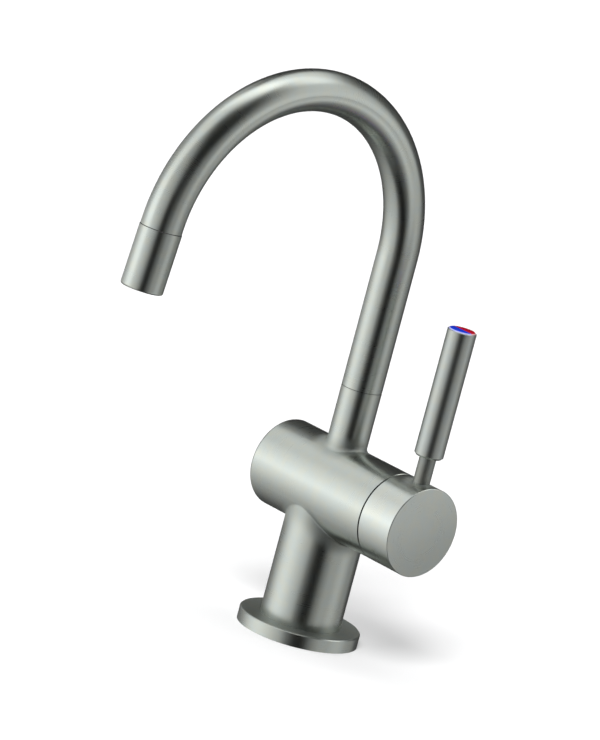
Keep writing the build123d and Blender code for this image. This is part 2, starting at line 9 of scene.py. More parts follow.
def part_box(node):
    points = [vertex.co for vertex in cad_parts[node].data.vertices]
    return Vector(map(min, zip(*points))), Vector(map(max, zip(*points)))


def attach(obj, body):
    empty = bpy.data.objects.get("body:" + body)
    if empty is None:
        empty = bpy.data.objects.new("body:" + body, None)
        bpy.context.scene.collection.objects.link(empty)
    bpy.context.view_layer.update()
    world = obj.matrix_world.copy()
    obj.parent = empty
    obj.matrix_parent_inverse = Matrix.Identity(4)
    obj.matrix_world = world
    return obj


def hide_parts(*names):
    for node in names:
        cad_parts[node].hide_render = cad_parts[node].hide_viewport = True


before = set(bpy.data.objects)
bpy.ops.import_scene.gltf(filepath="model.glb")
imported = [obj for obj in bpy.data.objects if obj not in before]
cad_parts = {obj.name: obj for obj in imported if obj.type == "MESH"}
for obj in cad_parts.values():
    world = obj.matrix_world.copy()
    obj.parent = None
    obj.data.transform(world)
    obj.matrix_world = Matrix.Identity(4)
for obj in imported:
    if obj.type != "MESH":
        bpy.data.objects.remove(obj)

bl_info = {
    "name": "Hot and cold water tap",
    "version": (1, 0, 0),
    "blender": (4, 5, 0),
    "location": "3D View > Sidebar > Tap",
    "description": "Gives the hot and cold water tap its finishes, its threads and its studio",
    "category": "Object",
}

# Places on the tap, in metres
CAP_LOW, CAP_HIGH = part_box("handle_cap")
GRIP_LOW, GRIP_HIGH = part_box("lever_grip")
SHANK_LOW, SHANK_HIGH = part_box("threaded_shank")
TUBE_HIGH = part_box("spout_tube")[1]
FLANGE_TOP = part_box("base_flange")[1][2]
WASHER_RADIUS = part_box("glide_washer")[1][0]
BARREL_HEIGHT = (CAP_LOW[2] + CAP_HIGH[2]) / 2
BARREL_RADIUS = (CAP_HIGH[2] - CAP_LOW[2]) / 2
FILLET_RISE = 0.0008        # how far outside the barrel's radius its own grain goes on
STEM_RADIUS = 0.018
LEVER_PLACE = (GRIP_LOW[0] + GRIP_HIGH[0]) / 2
NECK_RADIUS = 0.0037
INDICATOR_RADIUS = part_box("cold_indicator")[1][0] - LEVER_PLACE
TUBE_RADIUS = TUBE_HIGH[0]
BEND_RADIUS = 0.069
BEND_ANGLE = radians(175)
ARCH_BASE = TUBE_HIGH[2] - TUBE_RADIUS - BEND_RADIUS
BEND_FORWARD = BEND_RADIUS * (1 - cos(BEND_ANGLE))
BEND_END = Vector((0, -BEND_FORWARD, ARCH_BASE + BEND_RADIUS * sin(BEND_ANGLE)))
OUTLET_WAY = Vector((0, -sin(BEND_ANGLE), cos(BEND_ANGLE)))
UPWARD = Vector((0, 0, 1))
SIDEWAYS = Vector((1, 0, 0))

# Reach of the dull parts and of the painted shade, in metres
CORNER_REACH = 0.007        # how far from a crease the brush's dull corner and, towards the cap, the painted shade fade out
CORNER_CORE = 0.001         # how far from the crease it is dull all through, and towards the cap fully darkened by painted shade
CAP_SIDE_START = 0.002      # where the painted shade in the corners towards the cap begins, along the barrel
CAP_SIDE_FULL = 0.010
NECK_REACH = 0.006          # how far from the neck its dull ring on the cap fades out
NECK_CORE = 0.0005
FACE_MARGIN = 0.0002        # how far from an outermost face a point still counts as on it
TIP_SEAM_PLACE = 0.0021     # of the tip's seam, painted dark as painted shade, past the bend's end
TIP_SEAM_HALF = 0.00018
CAP_SHADE_TILT = radians(20)  # of the way in which painted shade darkens the cap's face, off straight down


# Sizes and colours that a user would change
class TapCameraSettings(bpy.types.PropertyGroup):
    """Where the camera stands and what it looks at."""

    turn: bpy.props.FloatProperty(
        name="Turn", description="How far round the tap the camera stands, from the front",
        default=radians(45.28), subtype="ANGLE")
    rise: bpy.props.FloatProperty(
        name="Rise", description="Angle at which the camera looks down on the tap",
        default=radians(11.92), subtype="ANGLE")
    roll: bpy.props.FloatProperty(
        name="Roll", description="How far the camera is tipped about its own line of sight",
        default=radians(14.82), subtype="ANGLE")
    distance: bpy.props.FloatProperty(
        name="Distance", description="From the camera to the point that it looks at",
        default=2.39, subtype="DISTANCE")
    focal_length: bpy.props.FloatProperty(
        name="Focal length", description="Focal length of the lens on a 36 mm sensor",
        default=269.6, subtype="DISTANCE_CAMERA")
    aim_height: bpy.props.FloatProperty(
        name="Aim height", description="Height above the worktop of the point looked at",
        default=0.1129, subtype="DISTANCE")
    aim_side: bpy.props.FloatProperty(
        name="Aim side", description="How far the point looked at lies to the camera's right",
        default=-0.0278, subtype="DISTANCE")


class TapStudioSettings(bpy.types.PropertyGroup):
    """How bright the studio is, and where its lamp stands."""

    room_light: bpy.props.FloatProperty(
        name="Room light", description="Strength of the light in the room between the panels",
        default=0.07)
    panel_light: bpy.props.FloatProperty(
        name="Panel light", description="Strength of all the panels of light together",
        default=1.0)
    lamp_strength: bpy.props.FloatProperty(
        name="Lamp", description="Strength of the soft lamp that draws the shadow", default=2.1)
    lamp_turn: bpy.props.FloatProperty(
        name="Lamp turn", description="How far to the camera's right the lamp stands",
        default=radians(-10), subtype="ANGLE")
    lamp_rise: bpy.props.FloatProperty(
        name="Lamp rise", description="Angle at which the lamp shines down",
        default=radians(46), subtype="ANGLE")
    lamp_spread: bpy.props.FloatProperty(
        name="Lamp spread", description="Angle that the lamp fills, which softens its shadow",
        default=radians(24), subtype="ANGLE")
    floor_white: bpy.props.FloatProperty(
        name="Floor white", description="Brightness that the camera sees on top of the floor's own",
        default=0.05)
    floor_colour: bpy.props.FloatVectorProperty(
        name="Floor colour", description="Colour of the pale floor", size=3,
        default=(0.95, 0.95, 0.955), subtype="COLOR")
    floor_size: bpy.props.FloatProperty(
        name="Floor size", description="Length of each side of the floor",
        default=8.0, subtype="DISTANCE")


class TapFinishSettings(bpy.types.PropertyGroup):
    """Colours and grain of the tap's finishes."""

    steel: bpy.props.FloatVectorProperty(
        name="Steel", description="Colour of the satin steel", size=3,
        default=(0.555, 0.59, 0.555), subtype="COLOR")
    # A darker steel for the lever's neck, partly its own finish and partly painted shade from the
    # cap and grip around it
    neck_steel_and_shade: bpy.props.FloatVectorProperty(
        name="Neck steel", description="Colour of the lever's darker neck", size=3,
        default=(0.34, 0.355, 0.335), subtype="COLOR")
    steel_roughness: bpy.props.FloatProperty(
        name="Steel roughness", description="How much the satin steel blurs what it mirrors",
        default=0.28, subtype="FACTOR")
    grip_roughness: bpy.props.FloatProperty(
        name="Grip roughness", description="The same for the lever's grip",
        default=0.34, subtype="FACTOR")
    neck_roughness: bpy.props.FloatProperty(
        name="Neck roughness", description="The same for the lever's neck",
        default=0.50, subtype="FACTOR")
    joint_roughness: bpy.props.FloatProperty(
        name="Joint roughness", description="What is added where the brush can't reach a corner",
        default=0.25, subtype="FACTOR")
    grip_steel: bpy.props.FloatVectorProperty(
        name="Grip steel", description="Colour of the lever's grip", size=3,
        default=(0.50, 0.53, 0.505), subtype="COLOR")
    # The cap's steel; at the upper front of its face no shade is painted on it
    cap_steel: bpy.props.FloatVectorProperty(
        name="Cap steel", description="Colour of the turning cap, upper front", size=3,
        default=(0.625, 0.66, 0.625), subtype="COLOR")
    cool_tint: bpy.props.FloatVectorProperty(
        name="Cool tint", description="What the steel's colour is multiplied by in cool clouds",
        size=3, default=(0.98, 1.0, 1.01))
    warm_tint: bpy.props.FloatVectorProperty(
        name="Warm tint", description="What the steel's colour is multiplied by in warm clouds",
        size=3, default=(1.02, 1.005, 0.965))
    # Painted shade: how far the steel is darkened towards black on the flange's top, in the corners
    # by the cap and down the cap's face
    painted_shade_strength: bpy.props.FloatProperty(
        name="Dimming", default=0.30, subtype="FACTOR",
        description="How much darker the flange's top, the corners and the cap's lower edge are")
    # Painted shade: the dark of the open seams, painted on the tip's bevel and on the washer's rim
    painted_seam_shade: bpy.props.FloatVectorProperty(
        name="Painted seam shade", description="Colour of the dark line in the open seams", size=3,
        default=(0.06, 0.06, 0.06), subtype="COLOR")
    grain_pitch: bpy.props.FloatProperty(
        name="Grain pitch", description="Distance between two strokes of the brushed grain",
        default=0.0004, subtype="DISTANCE")
    grain_depth: bpy.props.FloatProperty(
        name="Grain depth", description="Depth of the strokes of the brushed grain",
        default=0.000001, subtype="DISTANCE")
    brass: bpy.props.FloatVectorProperty(
        name="Brass", description="Colour of the turned brass", size=3,
        default=(0.72, 0.60, 0.34), subtype="COLOR")
    copper: bpy.props.FloatVectorProperty(
        name="Copper", description="Colour of the drawn copper tails", size=3,
        default=(0.72, 0.45, 0.32), subtype="COLOR")
    zinc: bpy.props.FloatVectorProperty(
        name="Zinc", description="Colour of the zinc-plated steel", size=3,
        default=(0.62, 0.63, 0.64), subtype="COLOR")
    spring: bpy.props.FloatVectorProperty(
        name="Spring steel", description="Colour of the tempered spring steel", size=3,
        default=(0.45, 0.46, 0.47), subtype="COLOR")
    rubber: bpy.props.FloatVectorProperty(
        name="Rubber", description="Colour of the black rubber", size=3,
        default=(0.05, 0.05, 0.05), subtype="COLOR")
    plastic: bpy.props.FloatVectorProperty(
        name="Plastic", description="Colour of the white moulded plastic", size=3,
        default=(0.85, 0.85, 0.83), subtype="COLOR")
    ceramic: bpy.props.FloatVectorProperty(
        name="Ceramic", description="Colour of the lapped ceramic", size=3,
        default=(0.90, 0.89, 0.86), subtype="COLOR")
    cold: bpy.props.FloatVectorProperty(
        name="Cold", description="Colour of the cold half of the indicator", size=3,
        default=(0.006, 0.045, 0.68), subtype="COLOR")
    hot: bpy.props.FloatVectorProperty(
        name="Hot", description="Colour of the hot half of the indicator", size=3,
        default=(0.55, 0.002, 0.018), subtype="COLOR")


class TapThreadSettings(bpy.types.PropertyGroup):
    """Size of the thread on the fixing shank."""

    pitch: bpy.props.FloatProperty(
        name="Pitch", description="Distance between two turns of the thread",
        default=0.0015, subtype="DISTANCE")
    bore: bpy.props.FloatProperty(
        name="Bore", description="Radius of the hole through the shank",
        default=0.012, subtype="DISTANCE")
    lead_in: bpy.props.FloatProperty(
        name="Lead-in", description="Size of the chamfer at the shank's lower end",
        default=0.001, subtype="DISTANCE")
    steps: bpy.props.IntProperty(
        name="Steps", description="Number of straight pieces in one turn of the thread",
        default=48)
    flank_angle: bpy.props.FloatProperty(
        name="Flank angle", description="Of each flank, off square to the shank's axis",
        default=radians(30), subtype="ANGLE")
    smooth_angle: bpy.props.FloatProperty(
        name="Smooth angle", description="Edges that turn less than this are shaded smooth",
        default=radians(30), subtype="ANGLE")
    spare_turns: bpy.props.IntProperty(
        name="Spare turns", description="Turns that are wound past the shank's ends and cut off",
        default=3)


# Shader building
class Wire:
    """An output of a node, which sums and products turn into Math nodes."""

    def __init__(self, board, socket):
        self.board = board
        self.socket = socket

    def math(self, operation, *values):
        return self.board.add("ShaderNodeMath", {"operation": operation}, values)

    def __add__(self, other):
        return self.math("ADD", self, other)

    def __radd__(self, other):
        return self.math("ADD", other, self)

    def __sub__(self, other):
        return self.math("SUBTRACT", self, other)

    def __rsub__(self, other):
        return self.math("SUBTRACT", other, self)

    def __mul__(self, other):
        return self.math("MULTIPLY", self, other)

    def __rmul__(self, other):
        return self.math("MULTIPLY", other, self)

    def __abs__(self):
        return self.math("ABSOLUTE", self)

    def __gt__(self, other):
        return self.math("GREATER_THAN", self, other)

    def __lt__(self, other):
        return self.math("LESS_THAN", self, other)

    def root(self):
        return self.math("SQRT", self)

    def clamped(self):
        return self.board.add("ShaderNodeClamp", {}, (self, 0.0, 1.0))


class Board:
    """A node tree that is being filled."""

    def __init__(self, tree):
        self.tree = tree
        tree.nodes.clear()

    def add(self, kind, settings=None, inputs=(), output=0):
        """Adds a node: its settings first, then its inputs by order or by name."""
        node = self.tree.nodes.new(kind)
        for name, value in (settings or {}).items():
            setattr(node, name, value)
        pairs = inputs.items() if isinstance(inputs, dict) else enumerate(inputs)
        for key, value in pairs:
            self.plug(node.inputs[key], value)
        return Wire(self, node.outputs[output]) if node.outputs else node

    def plug(self, socket, value):
        if isinstance(value, Wire):
            self.tree.links.new(value.socket, socket)
        elif socket.type == "RGBA" and len(value) == 3:
            socket.default_value = (*value, 1.0)
        else:
            socket.default_value = value

    def place(self, output="Object"):
        return self.add("ShaderNodeTexCoord", output=output)

    def axes(self, vector):
        return [self.add("ShaderNodeSeparateXYZ", {}, (vector,), axis) for axis in range(3)]

    def noise(self, vector, size, detail=2.0):
        """Soft random values from 0 to 1, in clouds about as large as the size."""
        return self.add("ShaderNodeTexNoise", {"noise_dimensions": "3D"},
                        {"Vector": vector, "Scale": 1.0 / size, "Detail": detail})

    def strokes(self, vector, along, pitch, length, detail=2.0):
        """Random strokes as long as the length, which follow one another at the pitch."""
        return self.add("ShaderNodeTexNoise", {"noise_dimensions": "4D"}, {
            "Vector": vector, "W": along * (length / pitch),
            "Scale": 1.0 / length, "Detail": detail})

    def smooth(self, value, start, end):
        """Runs from 0 at the start to 1 at the end, eased at both."""
        return self.add("ShaderNodeMapRange", {"interpolation_type": "SMOOTHSTEP"},
                        (value, start, end, 0.0, 1.0))

    def mixed(self, share, first, second):
        """A colour between two others."""
        return self.add("ShaderNodeMix", {"data_type": "RGBA"},
                        {"Factor": share, "A": first, "B": second}, "Result")

    def along(self, vector, axis):
        return self.add("ShaderNodeVectorMath", {"operation": "DOT_PRODUCT"},
                        (vector, axis), "Value")

    def less(self, vector, other):
        return self.add("ShaderNodeVectorMath", {"operation": "SUBTRACT"}, (vector, other))


def pick(share, first, second):
    """The first value where the share is 0 and the second where it is 1."""
    return first + (second - first) * share


BLACK = (0.0, 0.0, 0.0)
WHITE = (1.0, 1.0, 1.0)


def tinted(colour, tint):
    return [part * shade for part, shade in zip(colour, tint)]


def shades(board, share, colour, spread):
    """A colour that runs from a little darker to a little lighter than the one given."""
    return board.mixed(share, tinted(colour, [1 - spread] * 3), tinted(colour, [1 + spread] * 3))


def bump(board, height, depth):
    """Bumps as deep as the depth, in metres."""
    return board.add("ShaderNodeBump", {}, {"Strength": 1.0, "Distance": depth, "Height": height})


def new_material(name):
    material = bpy.data.materials.new(name)
    material.use_nodes = True
    return material, Board(material.node_tree)


def finish_surface(board, **inputs):
    """Ends a material in one Principled shader, whose sockets are named with underscores."""
    named = {name.replace("_", " "): value for name, value in inputs.items()}
    shader = board.add("ShaderNodeBsdfPrincipled", {}, named)
    board.add("ShaderNodeOutputMaterial", {}, {"Surface": shader})


# Where the brush can't reach, which is rougher, and where shade is painted on, as shares from 0 to 1
def in_body_corners(board, place):
    """The corners between the barrel and the stem or the riser."""
    x, y, z = board.axes(place)
    height = z - BARREL_HEIGHT
    pipe_radius = pick(height > 0.0, STEM_RADIUS, TUBE_RADIUS)
    off_pipe = (x * x + y * y).root() - pipe_radius
    off_barrel = (y * y + height * height).root() - BARREL_RADIUS
    above_crease = height + (x * x + (BARREL_RADIUS ** 2 - STEM_RADIUS ** 2)).root()
    past_crease = above_crease * (above_crease > 0.0) * (height < 0.0)
    return board.smooth(abs(off_pipe) + abs(off_barrel) + past_crease, CORNER_REACH, CORNER_CORE)


def cap_side_corner_shade(board, place):
    """The part of those corners that lies towards the cap, which gets painted shade."""
    x, y, z = board.axes(place)
    return in_body_corners(board, place) * board.smooth(x, CAP_SIDE_START, CAP_SIDE_FULL)


def round_neck(board, place):
    """The ring of the cap's outside at the foot of the lever's neck."""
    x, y, z = board.axes(place)
    aside = x - LEVER_PLACE
    off_neck = (aside * aside + y * y).root() - NECK_RADIUS
    return board.smooth(off_neck, NECK_REACH, NECK_CORE) * (z > BARREL_HEIGHT)


# The flange's top: rougher, and painted darker as painted shade
def on_flange_top(board, place):
    x, y, z = board.axes(place)
    return z > FLANGE_TOP - FACE_MARGIN


def cap_face_painted_fall(board, place):
    """Painted shade down and back across the cap's flat face, from 0 at its upper front to 1."""
    x, y, z = board.axes(place)
    down = sin(CAP_SHADE_TILT) * y - cos(CAP_SHADE_TILT) * (z - BARREL_HEIGHT)
    return board.smooth(down, -BARREL_RADIUS, BARREL_RADIUS) * (x > CAP_HIGH[0] - FACE_MARGIN)


def nowhere(board, place):
    return 0.0


# Where an open seam's dark is painted on, as painted shade
def at_tip_seam(board, place):
    """The small bevel at the upper edge of the outlet's sleeve."""
    below_start = board.along(board.less(place, BEND_END), OUTLET_WAY)
    return abs(below_start - TIP_SEAM_PLACE) < TIP_SEAM_HALF


def at_washer_rim(board, place):
    """The glide washer's rim, which stands in the seam under the spout and is painted dark as the
    seam's painted shade.
    """
    x, y, z = board.axes(place)
    return (x * x + y * y).root() > WASHER_RADIUS - FACE_MARGIN


# Ways that the grain runs
def turned_about(centre, axis):
    """Grain of a piece turned on a lathe, in circles round an axis."""
    def grain(board, place):
        arm = board.less(place, centre)
        reach = board.along(arm, axis)
        return (board.along(arm, arm) - reach * reach).root() + reach
    return grain


stem_grain = turned_about((0, 0, 0), UPWARD)
barrel_grain = turned_about((0, 0, BARREL_HEIGHT), SIDEWAYS)
lever_grain = turned_about((LEVER_PLACE, 0, BARREL_HEIGHT), UPWARD)
tip_grain = turned_about(BEND_END, OUTLET_WAY)


def body_grain(board, place):
    """Circles round the stem and the riser, and round the barrel between them."""
    x, y, z = board.axes(place)
    height = z - BARREL_HEIGHT
    around = (y * y + height * height).root()
    on_barrel = around < BARREL_RADIUS + FILLET_RISE
    return pick(on_barrel, stem_grain(board, place), barrel_grain(board, place))


def arch_grain(board, place):
    """Circles round the gooseneck, up its riser and along its bend."""
    x, y, z = board.axes(place)
    height = z - ARCH_BASE
    angle = board.add("ShaderNodeMath", {"operation": "ARCTAN2"}, (height, y + BEND_RADIUS))
    return pick(height > 0.0, height, angle * BEND_RADIUS)


# Finishes
def satin_steel(name, grain, roughness, rough_part=nowhere, seam=nowhere, painted_shade_part=nowhere,
                colour=None):
    """Brushed stainless steel, faintly clouded, with fine strokes along its grain."""
    look = bpy.context.scene.tap_finish
    material, board = new_material(name)
    place = board.place()
    colour = look.steel if colour is None else colour
    strokes = board.strokes(place, grain(board, place), pitch=look.grain_pitch, length=0.015)
    bands = board.strokes(place, grain(board, place), pitch=0.0025, length=0.040)
    cloud = board.noise(place, size=0.012)
    warmth = board.smooth(board.noise(place, size=0.0045, detail=3.0), start=0.35, end=0.65)
    lightness = 0.6 * cloud + 0.4 * bands
    cool = shades(board, lightness, tinted(colour, look.cool_tint), spread=0.05)
    warm = shades(board, lightness, tinted(colour, look.warm_tint), spread=0.05)
    clean = board.mixed(warmth, cool, warm)
    # Painted shade: the steel's colour is darkened towards black where the painted shade part says
    with_painted_shade = board.mixed(look.painted_shade_strength * painted_shade_part(board, place), clean, BLACK)
    uneven = 0.02 * cloud + 0.02 * bands + 0.03 * strokes - 0.035
    finish_surface(
        board,
        # Painted shade: the dark of an open seam is painted on where the seam says
        Base_Color=board.mixed(seam(board, place), with_painted_shade, look.painted_seam_shade),
        Metallic=1.0,
        Roughness=roughness + uneven + look.joint_roughness * rough_part(board, place),
        Normal=bump(board, strokes, depth=look.grain_depth))
    return material


def turned_brass(name, grain):
    """Brass with the marks of the lathe, dulled in places."""
    look = bpy.context.scene.tap_finish
    material, board = new_material(name)
    place = board.place()
    marks = board.strokes(place, grain(board, place), pitch=0.00025, length=0.020)
    tarnish = board.smooth(board.noise(place, size=0.009, detail=4.0), start=0.42, end=0.72)
    finish_surface(
        board,
        Base_Color=board.mixed(tarnish, look.brass, tinted(look.brass, (0.66, 0.60, 0.55))),
        Metallic=1.0,
        Roughness=0.22 + 0.08 * marks + 0.16 * tarnish,
        Normal=bump(board, marks, depth=0.000003))
    return material


def drawn_copper():
    """Copper tube with long faint scratches from the die and darker clouds of oxide."""
    look = bpy.context.scene.tap_finish
    material, board = new_material("copper")
    place = board.place()
    x, y, z = board.axes(place)
    scratches = board.strokes(place, x + y, pitch=0.0003, length=0.030)
    oxide = board.smooth(board.noise(place, size=0.007, detail=4.0), start=0.40, end=0.75)
    finish_surface(
        board,
        Base_Color=board.mixed(oxide, look.copper, tinted(look.copper, (0.62, 0.55, 0.52))),
        Metallic=1.0,
        Roughness=0.26 + 0.08 * scratches + 0.16 * oxide,
        Normal=bump(board, scratches, depth=0.000002))
    return material


def zinc_steel():
    """Zinc-plated steel, bluish and yellowish in clouds, over the stamped sheet's grain."""
    look = bpy.context.scene.tap_finish
    material, board = new_material("zinc_steel")
    place = board.place()
    cloud = board.noise(place, size=0.006, detail=3.0)
    grain = board.noise(place, size=0.0005, detail=3.0)
    bluish = tinted(look.zinc, (0.92, 0.98, 1.10))
    yellowish = tinted(look.zinc, (1.08, 1.02, 0.84))
    finish_surface(
        board,
        Base_Color=board.mixed(board.smooth(cloud, start=0.35, end=0.65), bluish, yellowish),
        Metallic=1.0,
        Roughness=0.26 + 0.10 * cloud + 0.08 * grain,
        Normal=bump(board, grain, depth=0.000004))
    return material


def spring_steel():
    """Tempered strip, brown and blue from the heat, with the rolling mill's lines."""
    look = bpy.context.scene.tap_finish
    material, board = new_material("spring_steel")
    place = board.place()
    heat = board.smooth(board.noise(place, size=0.005), start=0.35, end=0.65)
    lines = board.strokes(place, barrel_grain(board, place), pitch=0.0002, length=0.010)
    straw = tinted(look.spring, (1.0, 0.86, 0.66))
    blued = tinted(look.spring, (0.60, 0.68, 0.86))
    finish_surface(
        board,
        Base_Color=board.mixed(heat, straw, blued),
        Metallic=1.0,
        Roughness=0.24 + 0.10 * lines + 0.06 * heat,
        Normal=bump(board, lines, depth=0.000002))
    return material


def black_rubber():
    """Moulded rubber with a fine grain and a bloom of pale dust in patches."""
    look = bpy.context.scene.tap_finish
    material, board = new_material("black_rubber")
    place = board.place()
    grain = board.noise(place, size=0.00035, detail=3.0)
    bloom = board.smooth(board.noise(place, size=0.008, detail=4.0), start=0.45, end=0.80)
    dusty = [part + 0.07 for part in look.rubber]
    finish_surface(
        board,
        Base_Color=board.mixed(bloom, look.rubber, dusty),
        Roughness=0.55 + 0.20 * bloom + 0.10 * grain,
        Normal=bump(board, grain, depth=0.00002))
    return material


def white_plastic(name, seam=nowhere):
    """Moulded acetal: off-white, waxy, with faint flow lines and a fine spark grain."""
    look = bpy.context.scene.tap_finish
    material, board = new_material(name)
    place = board.place()
    grain = board.noise(place, size=0.00025)
    flow = board.noise(place, size=0.005, detail=3.0)
    clean = shades(board, flow, look.plastic, spread=0.03)
    finish_surface(
        board,
        # Painted shade: the dark of an open seam is painted on where the seam says
        Base_Color=board.mixed(seam(board, place), clean, look.painted_seam_shade),
        Roughness=0.36 + 0.08 * flow + 0.08 * grain,
        Subsurface_Weight=0.08,
        Subsurface_Radius=(0.001, 0.001, 0.0008),
        Normal=bump(board, grain, depth=0.000008))
    return material


def lapped_ceramic():
    """Dense ceramic with a lapped sheen and the fine specks of its grains."""
    look = bpy.context.scene.tap_finish
    material, board = new_material("ceramic")
    place = board.place()
    specks = board.smooth(board.noise(place, size=0.0003), start=0.60, end=0.75)
    cloud = board.noise(place, size=0.006)
    finish_surface(
        board,
        Base_Color=shades(board, cloud - 0.5 * specks, look.ceramic, spread=0.04),
        Roughness=0.14 + 0.05 * cloud + 0.15 * specks,
        Coat_Weight=0.2)
    return material


def enamel(name, colour):
    """The indicator's hard gloss filling, which stands up like a drop towards its middle, with a
    painted highlight round its rim.
    """
    material, board = new_material(name)
    place = board.place()
    x, y, z = board.axes(place)
    aside = (x - LEVER_PLACE) * (1.0 / INDICATOR_RADIUS)
    ahead = y * (1.0 / INDICATOR_RADIUS)
    out_squared = aside * aside + ahead * ahead
    # Painted highlight: the bevel round the rim is mixed towards white, a glint painted into the
    # colour
    bevel = board.smooth(out_squared, start=0.84, end=0.92)
    skin = board.noise(place, size=0.0012)
    pigment = board.noise(place, size=0.0003, detail=3.0)
    inner = shades(board, pigment, colour, spread=0.10)
    finish_surface(
        board,
        Base_Color=board.mixed(0.45 * bevel, inner, WHITE),
        Roughness=0.22 + 0.08 * pigment,
        Specular_IOR_Level=0.50,
        Normal=bump(board, 0.02 * skin - out_squared * out_squared, depth=0.0005))
    return material


# Studio, in degrees: the turn is from the camera towards its right, the height above the horizon
Panel = namedtuple("Panel", "turn height half_width half_height soft strength")
LIGHTS = (
    # a broad wash on the left, which the left half of each round piece mirrors
    Panel(turn=-65, height=-10, half_width=55, half_height=65, soft=45, strength=0.65),
    # its brighter middle, just under the horizon
    Panel(turn=-85, height=-10, half_width=30, half_height=10, soft=25, strength=0.70),
    # a wide ceiling strip and a narrower brighter one across its middle
    Panel(turn=5, height=90, half_width=95, half_height=20, soft=5, strength=0.55),
    Panel(turn=-35, height=90, half_width=45, half_height=10, soft=5, strength=1.00),
    # a dim wall on the right, with a brighter patch low down
    Panel(turn=70, height=10, half_width=30, half_height=55, soft=5, strength=0.25),
    Panel(turn=90, height=-25, half_width=20, half_height=30, soft=5, strength=0.15),
    # a thin strip light low on the right
    Panel(turn=80, height=-25, half_width=50, half_height=5, soft=10, strength=0.60),
    # rim lights from behind, high on the right and low on the left
    Panel(turn=135, height=65, half_width=30, half_height=20, soft=5, strength=0.90),
    Panel(turn=-135, height=15, half_width=20, half_height=25, soft=5, strength=1.70),
)
CARDS = (
    # the strength is the share that a dark card takes of the light behind it; the first
    # three stand high in front, low in front and behind the tap
    Panel(turn=30, height=45, half_width=30, half_height=30, soft=15, strength=1.00),
    Panel(turn=-15, height=-45, half_width=10, half_height=40, soft=5, strength=0.75),
    Panel(turn=-160, height=15, half_width=45, half_height=25, soft=10, strength=0.80),
    # in front and a little low, for the dark stripe down the stem and the riser
    Panel(turn=5, height=-25, half_width=15, half_height=40, soft=5, strength=1.00),
)
# the patch of white backdrop that the steel mirrors at its edges
BACKDROP = Panel(turn=180, height=-12, half_width=8, half_height=8, soft=4, strength=1.00)


def panel_axes(turn, height):
    """A panel's own axes: out to its middle, across it and up it."""
    across = Matrix.Rotation(turn, 3, "Z") @ Vector((1, 0, 0))
    out = Matrix.Rotation(turn, 3, "Z") @ Vector((0, -cos(height), sin(height)))
    return out, across, across.cross(-out)


def cover(board, way, camera, panel):
    """How much of a soft-edged panel stands in each direction, from 0 to 1."""
    out, across, up = panel_axes(camera.turn + radians(panel.turn), radians(panel.height))
    beside = board.add("ShaderNodeMath", {"operation": "ARCTAN2"},
                       (board.along(way, across), board.along(way, out)))
    above = board.add("ShaderNodeMath", {"operation": "ARCSINE"}, (board.along(way, up),))
    soft = radians(panel.soft)
    half_width = radians(panel.half_width)
    half_height = radians(panel.half_height)
    wide = board.smooth(abs(beside), half_width + soft, half_width - soft)
    tall = board.smooth(abs(above), half_height + soft, half_height - soft)
    return wide * tall


def studio_world(camera, studio):
    """A dim room with large soft panels of light, and white behind the tap."""
    world = bpy.data.worlds.new("studio")
    world.use_nodes = True
    board = Board(world.node_tree)
    way = board.place("Generated")
    light = studio.room_light
    for panel in LIGHTS:
        light = light + panel.strength * studio.panel_light * cover(board, way, camera, panel)
    for card in CARDS:
        light = light * (1.0 - card.strength * cover(board, way, camera, card))
    rays = "ShaderNodeLightPath"
    seen = board.add(rays, output="Is Camera Ray") + board.add(rays, output="Is Transmission Ray")
    mirrored = board.add(rays, output="Is Glossy Ray") * cover(board, way, camera, BACKDROP)
    room = board.add("ShaderNodeBackground", {}, {"Color": WHITE, "Strength": light})
    backdrop = board.add("ShaderNodeBackground", {},
                         {"Color": WHITE, "Strength": BACKDROP.strength})
    mixed = board.add("ShaderNodeMixShader", {}, ((seen + mirrored).clamped(), room, backdrop))
    board.add("ShaderNodeOutputWorld", {}, {"Surface": mixed})
    bpy.context.scene.world = world


